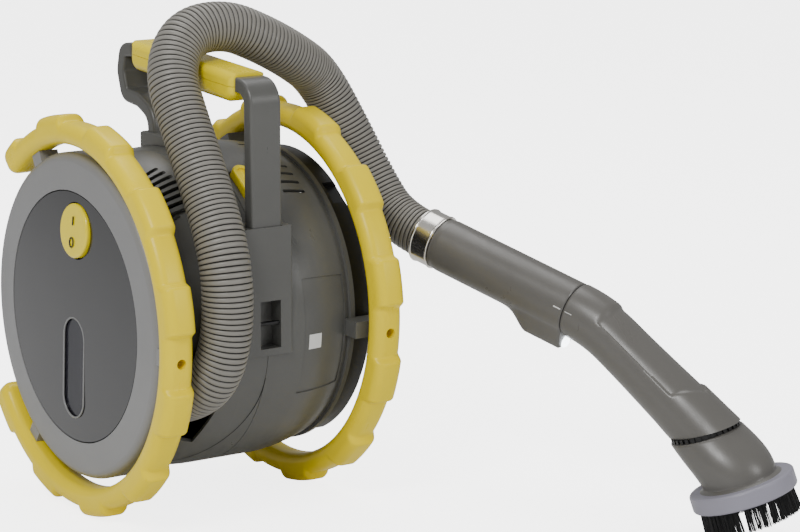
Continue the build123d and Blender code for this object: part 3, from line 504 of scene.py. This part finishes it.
def make_front_hood():
    """The raised, slotted vent hood on the front casing, with a black sheet under it as painted shade
    behind the slots.
    """
    low, high, y_flat, reach, rise, thick = 44.0, 88.0, -0.0640, 0.0385, 0.0066, 0.0022
    tops, unders = [], []
    for angle in np.linspace(low + 0.3, high - 0.3, 90):
        far = hood_outline(angle, low, high, y_flat, reach)
        top, under = [], []
        for t in np.linspace(0, 1, 26):
            y = y_flat + (far - y_flat) * t
            edge = min((1 - t) * (far - y_flat), (angle - low) * 0.0020, (high - angle) * 0.0020)
            lift = rise * sqrt(min(max(edge, 0.0) / 0.0085, 1.0)) * (1 - 0.25 * t)
            top.append(on_drum(shoulder_r(y) + lift + 0.0006, angle, y))
            under.append(on_drum(shoulder_r(y) + max(lift - thick, -0.0016), angle, y))
        tops.append(top)
        unders.append(under)
    rings = [list(top) + list(reversed(under)) for top, under in zip(tops, unders)]
    hood = make_object("vent_hood", loft_mesh("vent_hood", rings), body_plastic, "housing")
    cutters = bmesh.new()
    for k in range(8):
        far = -0.0480 + 0.0122 * (1 - (1 - k / 7) ** 1.7)
        slot_prism(cutters, 67.0 - 2.9 * k, far, far + 0.0580, 0.0017, -1.2)
    carve(hood, mesh_from(cutters, "hood_slots"))
    # Painted shade: a black sheet laid just over the casing under the hood, so the slots show dark.
    shade_sheet = []
    for angle in np.linspace(low + 4, high - 4, 60):
        far = hood_outline(angle, low, high, y_flat, reach) - 0.004
        shade_sheet.append([on_drum(shoulder_r(y) + 0.0003, angle, y) for y in np.linspace(y_flat, far, 14)])
    make_object("vent_shade_sheet", loft_mesh("vent_shade_sheet", shade_sheet, closed=False), black_plastic, "housing")


make_front_hood()


# ---------------------------------------------------------------- fine joint lines and marks
def line_on_drum(name, points, width, material, lift=0.00012):
    """A thin raised strip through (radius, angle, y) points on the drum."""
    places = [on_drum(r + lift, a, y) for r, a, y in points]
    rings = []
    for i, place in enumerate(places):
        way = (places[min(i + 1, len(places) - 1)] - places[max(i - 1, 0)]).normalized()
        out = Vector((place.x, 0, place.z - AXIS_Z)).normalized()
        side = way.cross(out).normalized() * width / 2
        rise = out * 0.00006
        rings.append([place - side, place - side + rise, place + side + rise, place + side])
    make_object(name, loft_mesh(name, rings, smooth=False), material, "housing")


def make_seams():
    """Two joint lines low on the drum, and the pale square beside the side channel."""
    curve = [(drum_r(y), a, y) for a, y in
             [(-66 + 2.4 * k, -0.040 + 0.041 * sin(pi / 2 * k / 20)) for k in range(21)]]
    line_on_drum("seam_lower", curve, 0.0007, black_plastic)
    low = [(drum_r(y), -72.0, y) for y in np.linspace(-0.066, 0.066, 40)]
    line_on_drum("seam_bottom", low, 0.0006, black_plastic)
    patch = []
    for angle in np.linspace(-9.6, -4.2, 8):
        patch.append([on_drum(drum_r(y) - 0.0006, angle, y) for y in np.linspace(0.0355, 0.0465, 8)])
    make_object("label_square", loft_mesh("label_square", patch, closed=False), mark_plastic, "housing")


make_seams()


# ---------------------------------------------------------------- gloss panel
PANEL_R, PANEL_EDGE_Y, PANEL_CROWN_Y, PANEL_BACK_Y = 0.0908, -0.0910, -0.0926, -0.0863
PANEL_LEAN = radians(4)


def on_panel(up, side=0.0):
    """X and Z of a point on the panel's leaning centreline, up from the drum's axis."""
    return (0.004 + up * sin(PANEL_LEAN) + side * cos(PANEL_LEAN),
            AXIS_Z + up * cos(PANEL_LEAN) - side * sin(PANEL_LEAN))


def make_panel():
    """A shallow gloss dome with its two openings, shaded by its true curvature."""
    crown_rise = PANEL_EDGE_Y - PANEL_CROWN_Y
    big = (PANEL_R ** 2 + crown_rise ** 2) / (2 * crown_rise)
    profile = [(r, PANEL_CROWN_Y + big - sqrt(big * big - r * r))
               for r in np.linspace(0.0004, PANEL_R - 0.0008, 24)]
    profile += [(PANEL_R - 0.0002, PANEL_EDGE_Y + 0.0001), (PANEL_R, PANEL_EDGE_Y + 0.0006),
                (PANEL_R, PANEL_BACK_Y), (0.0004, PANEL_BACK_Y)]
    rings = [[on_drum(r, 2.5 * k, y) for k in range(144)] for r, y in profile]
    panel = make_object("gloss_panel", loft_mesh("gloss_panel", rings), panel_plastic, "housing",
                        ["front_panel"])
    work = bmesh.new()
    x, z = on_panel(0.064)
    rod(work, (x, -0.100, z), (x, -0.080, z), 0.0206, 96)
    outline = []
    for k in range(96):
        turn = 2 * pi * k / 96
        up = 0.0145 * sin(turn) + (0.0220 if sin(turn) >= 0 else -0.0220)
        outline.append(on_panel(-0.037 + up, 0.0145 * cos(turn)))
    loops = [[work.verts.new((x, y, z)) for x, z in outline] for y in (-0.100, -0.080)]
    close_loops(work, *loops)
    carve(panel, mesh_from(work, "panel_openings"))
    mesh = panel.data
    normals = []
    for face in mesh.polygons:
        for corner in face.loop_indices:
            x, _, z = mesh.vertices[mesh.loops[corner].vertex_index].co
            crown = Vector((x / big, -1, (z - AXIS_Z) / big)).normalized()
            normals.append(crown if face.normal.y < -0.97 else face.normal)
    mesh.normals_split_custom_set([tuple(n) for n in normals])


make_panel()


# ---------------------------------------------------------------- rocker marks and window frame
def make_rocker_marks():
    """A stroke and an oval that stand just proud of the rocker's sloping face."""
    low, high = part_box("power_rocker")
    middle = Vector(((low.x + high.x) / 2, low.y, (low.z + high.z) / 2))
    lean = Vector((sin(PANEL_LEAN), 0, cos(PANEL_LEAN)))
    slope = sin(radians(4))

    def on_face(place):
        return Vector((place.x, middle.y + 0.0006 + slope * (place.z - middle.z), place.z))

    work = bmesh.new()
    rod(work, on_face(middle + lean * 0.0045), on_face(middle + lean * 0.0107), 0.00055, 10)
    turns = [2 * pi * k / 28 for k in range(29)]
    oval = [on_face(middle - lean * 0.0080 + Vector((cos(turn) * 0.0026, 0, sin(turn) * 0.0034)))
            for turn in turns]
    for start, end in zip(oval, oval[1:]):
        rod(work, start, end, 0.0005, 8)
    make_object("rocker_marks", mesh_from(work, "rocker_marks"), mark_black, "rocker")


make_rocker_marks()


def make_window_frame():
    """A round-section frame around the window, on its leaning upright slot outline."""
    low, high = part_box("window_lens")
    centre = (low + high) / 2
    half_long, half_wide, tube = 0.0368, 0.0148, 0.0007
    straight = half_long - half_wide
    across = Vector((cos(PANEL_LEAN), 0, -sin(PANEL_LEAN)))
    upward = Vector((sin(PANEL_LEAN), 0, cos(PANEL_LEAN)))
    rings = []
    for k in range(64):
        turn = 2 * pi * k / 64
        out = across * cos(turn) + upward * sin(turn)
        here = centre + out * half_wide + upward * (straight if sin(turn) >= 0 else -straight)
        here.y = low.y - 0.0013
        rings.append(tube_ring(here, out, Vector((0, 1, 0)), tube, 10))
    rings.append(rings[0])
    make_object("window_frame", loft_mesh("window_frame", rings, caps=False), cover_plastic, "housing")


make_window_frame()


# ---------------------------------------------------------------- wand handle and tube
def wand_up(way):
    """The upward direction square to the wand's side and to this way."""
    up = WAND_SIDE.cross(way).normalized()
    return -up if up.z < 0 else up


def handle_outline(along, sides=96):
    """Offsets (side, up) of the handle's outline: a circle with a lamp housing under its end."""
    grow = smooth_step((along - 0.080) / 0.026)
    drop = WAND_R + (BULGE_DROP - WAND_R) * grow
    mouth = smooth_step((along - 0.018) / 0.004)
    points = []
    for k in range(sides):
        turn = 2 * pi * k / sides
        side, up = cos(turn) * WAND_R, sin(turn) * WAND_R
        if up < 0 and grow > 0:
            blend = 1 - smooth_step((abs(side) - BULGE_HALF * 0.55) / (BULGE_HALF * 0.75))
            up = up + (-drop - up) * blend * grow if up > -drop else up
        seam = 0.0005 if abs(side) < 0.0007 else 0.0
        scale = 1 - seam / WAND_R - 0.0006 / WAND_R * (1 - mouth)
        points.append((side * scale, up * scale))
    return points


def make_handle():
    """The wand's handle, from the collar to the twist joint, and the joint's tick marks."""
    rings = []
    up = wand_up(HANDLE_WAY)
    stops = [*np.linspace(COLLAR_LONG + 0.0003, 0.024, 8), *np.linspace(0.026, JOINT_AT - 0.0012, 90),
             JOINT_AT - 0.0006, JOINT_AT - 0.0003]
    for along in stops:
        shrink = 1 - (0.0008 / WAND_R) * smooth_step((along - (JOINT_AT - 0.0012)) / 0.0009)
        centre = WAND_START + HANDLE_WAY * along
        rings.append([centre + WAND_SIDE * s * shrink + up * u * shrink for s, u in handle_outline(along)])
    make_object("wand_handle", loft_mesh("wand_handle", rings), wand_plastic, "wand",
                ["wand_handle_left", "wand_handle_right"])
    ticks = (("tick_handle", JOINT_AT - 0.0050, "wand"), ("tick_tube", JOINT_AT + 0.0050, "tube"))
    for name, along, body in ticks:
        work = bmesh.new()
        for side in (1, -1):
            foot = WAND_START + HANDLE_WAY * along + WAND_SIDE * side * WAND_R * 0.988 + up * 0.003
            rod(work, foot - HANDLE_WAY * 0.0030, foot + HANDLE_WAY * 0.0030, 0.0005, 10)
        make_object(name, mesh_from(work, name), mark_plastic, body)


make_handle()


def make_tube():
    """The bent tube: straight, a short bend, then a slow flare, with a sunk flat field on top."""
    rings = []
    first = WAND_START + HANDLE_WAY * (JOINT_AT + 0.0003)
    path = [(first + HANDLE_WAY * d, HANDLE_WAY) for d in (0, 0.0006, 0.0014)]
    reach = BEND_LONG * 0.92
    start, end = BEND_AT - HANDLE_WAY * reach, BEND_AT + TUBE_WAY * reach
    for k in range(25):
        t = k / 24
        centre = start * (1 - t) ** 2 + BEND_AT * 2 * t * (1 - t) + end * t * t
        path.append((centre, (HANDLE_WAY * (1 - t) + TUBE_WAY * t).normalized()))
    for d in np.linspace(reach, TUBE_LONG, 70)[1:]:
        path.append((BEND_AT + TUBE_WAY * d, TUBE_WAY))
    for i, (centre, way) in enumerate(path):
        up = wand_up(way)
        along = (centre - BEND_AT).dot(TUBE_WAY)
        radius = TUBE_R0 + (TUBE_R1 - TUBE_R0) * smooth_step((along - 0.018) / 0.130) * 0.9
        if i < 3:
            radius -= (0.0009, 0.0003, 0)[i]
        turn_in = smooth_step((along - (TUBE_LONG - 0.034)) / 0.034)
        cut = (TUBE_WAY * (1 - turn_in) + BRUSH_AXIS * turn_in).normalized()
        ring = []
        for k in range(120):
            turn = 2 * pi * k / 120
            flat = smooth_step((sin(turn) - 0.42) / 0.07) * smooth_step((along - 0.004) / 0.004)
            flat *= 1 - smooth_step((along - (TUBE_LONG - 0.021 - 0.010 * abs(cos(turn)))) / 0.0022)
            sunk = flat * (0.0016 + 0.0015 * max(sin(turn) - 0.5, 0))
            offset = WAND_SIDE * cos(turn) * radius + up * (sin(turn) * radius - sunk)
            slide = -offset.dot(cut) / TUBE_WAY.dot(cut) if turn_in > 0 else 0.0
            ring.append(centre + offset + TUBE_WAY * slide)
        rings.append(ring)
    make_object("wand_bent_tube", loft_mesh("wand_bent_tube", rings), wand_plastic, "tube",
                ["wand_tube"])


make_tube()


# ---------------------------------------------------------------- brush elbow and tufts
def brush_frame():
    """Two directions square to the brush's axis and to each other."""
    side = (WAND_SIDE - BRUSH_AXIS * WAND_SIDE.dot(BRUSH_AXIS)).normalized()
    return side, BRUSH_AXIS.cross(side).normalized()


def make_elbow():
    """The brush's neck, which swings off its axis towards the flange."""
    side, other = brush_frame()
    turns = [2 * pi * k / 96 for k in range(96)]
    rings = []
    start = TUBE_END + BRUSH_AXIS * 0.0034
    for t in np.linspace(0, 1, 44):
        swing = smooth_step(t) * 0.35 + (1 - (1 - t) ** 2) * 0.65
        centre = start + BRUSH_AXIS * (ELBOW_LONG - 0.0034) * t + ELBOW_SHIFT * swing
        radius = NECK_R + 0.0016 * sin(pi * t) + 0.0035 * smooth_step((t - 0.93) / 0.07) ** 2
        radius -= 0.0007 * (1 - smooth_step(t / 0.03))
        rings.append([centre + (side * cos(turn) + other * sin(turn)) * radius for turn in turns])
    make_object("brush_neck", loft_mesh("brush_neck", rings), wand_plastic, "brush",
                ["brush_elbow"])


make_elbow()


def make_tufts():
    """Bristle tufts in one ring: close together at the sides, spaced out at the front and back."""
    rng = np.random.default_rng(7)
    side, other = brush_frame()
    foot = FLANGE_AT + BRUSH_AXIS * (FLANGE_THICK - 0.0006)
    work = bmesh.new()
    angles = []
    for k in range(2):
        angles += [180 * k + a for a in np.linspace(-66, 66, 22)]
        angles += [180 * k + a for a in (77, 84.5, 92, 99.5)]
    turn0 = atan2(other.dot(CAMERA_WAY), side.dot(CAMERA_WAY)) + pi / 2
    for angle in angles:
        way = side * cos(radians(angle) + turn0) + other * sin(radians(angle) + turn0)
        across = BRUSH_AXIS.cross(way)
        for _ in range(26):
            r, a = TUFT_R * sqrt(rng.random()), 2 * pi * rng.random()
            start = foot + way * (TUFT_RING_R + r * cos(a)) + across * r * sin(a)
            flare = 0.0011 * r / TUFT_R
            spread = way * (flare * cos(a) + 0.0004) + across * flare * sin(a)
            end = start + BRUSH_AXIS * (BRISTLE_LONG - 0.0003 - 0.0012 * rng.random()) + spread
            rod(work, start, end, BRISTLE_R, 5, 0.7)
    make_object("brush_tufts", mesh_from(work, "brush_tufts", smooth=False), bristle_plastic, "brush",
                ["bristles"])


make_tufts()


# ---------------------------------------------------------------- collar lips and lit lens
def lip(name, along, radius, tube, material, body):
    """A thin round ring around the handle's line, this far along it."""
    rings = []
    up = wand_up(HANDLE_WAY)
    for k in range(73):
        turn = 2 * pi * k / 72
        out = WAND_SIDE * cos(turn) + up * sin(turn)
        centre = WAND_START + HANDLE_WAY * along + out * radius
        rings.append(tube_ring(centre, out, HANDLE_WAY, tube, 12))
    make_object(name, loft_mesh(name, rings, caps=False), material, body)


lip("collar_lip_hose", 0.0012, 0.0200, 0.0010, chrome, "housing")
lip("collar_lip_wand", 0.0150, 0.0200, 0.0009, chrome, "housing")
lip("joint_shadow", JOINT_AT, 0.0186, 0.0009, black_plastic, "tube")

# ---------------------------------------------------------------- finishes of the shown CAD pieces
FINISHES = {
    body_plastic: ["front_shell", "rear_shell", "side_channel", "handle_arm_right", "handle_arm_left",
                   "handle_socket"],
    cover_plastic: ["front_cover"],
    panel_plastic: ["front_panel"],
    grip_plastic: ["grip_upper", "grip_lower"],
    switch_plastic: ["power_rocker", "release_button"],
    dark_plastic: ["switch_housing", "casing_joiner", "strap_bar", "fan_wheel", "fan_shroud",
                   "motor_plate", "rear_cover", "hose_inlet", "twist_sleeve", "index_ring"],
    clear_plastic: ["window_lens", "dust_cup"],
    filter_cloth: ["cup_filter", "exhaust_filter"],
    board_plastic: ["circuit_board"],
    steel: ["ring_screws", "button_spring", "motor_housing", "motor_shaft"],
    chrome: ["hose_collar"],
    flange_plastic: ["brush_flange"],
    led_glow: ["led_lens"],
}
for material, names in FINISHES.items():
    for name in names:
        mesh = nodes[name].data
        mesh.materials.clear()
        mesh.materials.append(material)

# ---------------------------------------------------------------- floor and light
floor_mesh = bpy.data.meshes.new("floor")
floor_mesh.from_pydata([(-30, -30, 0), (30, -30, 0), (30, 30, 0), (-30, 30, 0)], [], [(0, 1, 2, 3)])
floor = bpy.data.objects.new("floor", floor_mesh)
bpy.context.scene.collection.objects.link(floor)
# The floor and the world are brighter to camera rays than to the object, for a white background only.
paper = Nodes("floor_paper")
mottle = paper.ramp(paper.noise(2.0), 0.3, 0.7, (0.0, 1.0))
paper.to(paper.mix(mottle, (0.93, 0.93, 0.93, 1), (0.95, 0.95, 0.95, 1)), "Base Color")
paper.shader.inputs["Roughness"].default_value = 0.95
paper.shader.inputs["Specular IOR Level"].default_value = 0.1
paper.shader.inputs["Emission Color"].default_value = (1, 1, 1, 1)
paper_lit = paper.add("ShaderNodeMath", [(paper.add("ShaderNodeLightPath").outputs["Is Camera Ray"], 0)],
                      operation="MULTIPLY")
paper_lit.inputs[1].default_value = 4.0
paper.to(paper_lit.outputs[0], "Emission Strength")
floor_mesh.materials.append(paper.material)

world = bpy.data.worlds.new("studio")
bpy.context.scene.world = world
world.use_nodes = True
sky = world.node_tree
sky.nodes["Background"].inputs["Color"].default_value = (1, 1, 1, 1)
seen_by = sky.nodes.new("ShaderNodeLightPath")
level = sky.nodes.new("ShaderNodeMapRange")
level.inputs["To Min"].default_value, level.inputs["To Max"].default_value = 0.42, 6.0
sky.links.new(seen_by.outputs["Is Camera Ray"], level.inputs["Value"])
sky.links.new(level.outputs["Result"], sky.nodes["Background"].inputs["Strength"])


def softbox(name, place, target, size, power):
    """A square area light that faces a point."""
    lamp = bpy.data.lights.new(name, "AREA")
    lamp.shape, lamp.size, lamp.energy = "SQUARE", size, power
    box = bpy.data.objects.new(name, lamp)
    box.location = place
    box.rotation_euler = (Vector(target) - Vector(place)).to_track_quat("-Z", "Y").to_euler()
    bpy.context.scene.collection.objects.link(box)


softbox("key", (1.2, -1.6, 1.9), (0.05, 0, 0.15), 0.8, 40)
softbox("fill", (2.2, 0.9, 1.1), (0.1, 0.1, 0.15), 0.7, 12)
softbox("top", (-0.6, 0.4, 2.2), (0.1, 0.1, 0.15), 1.4, 22)
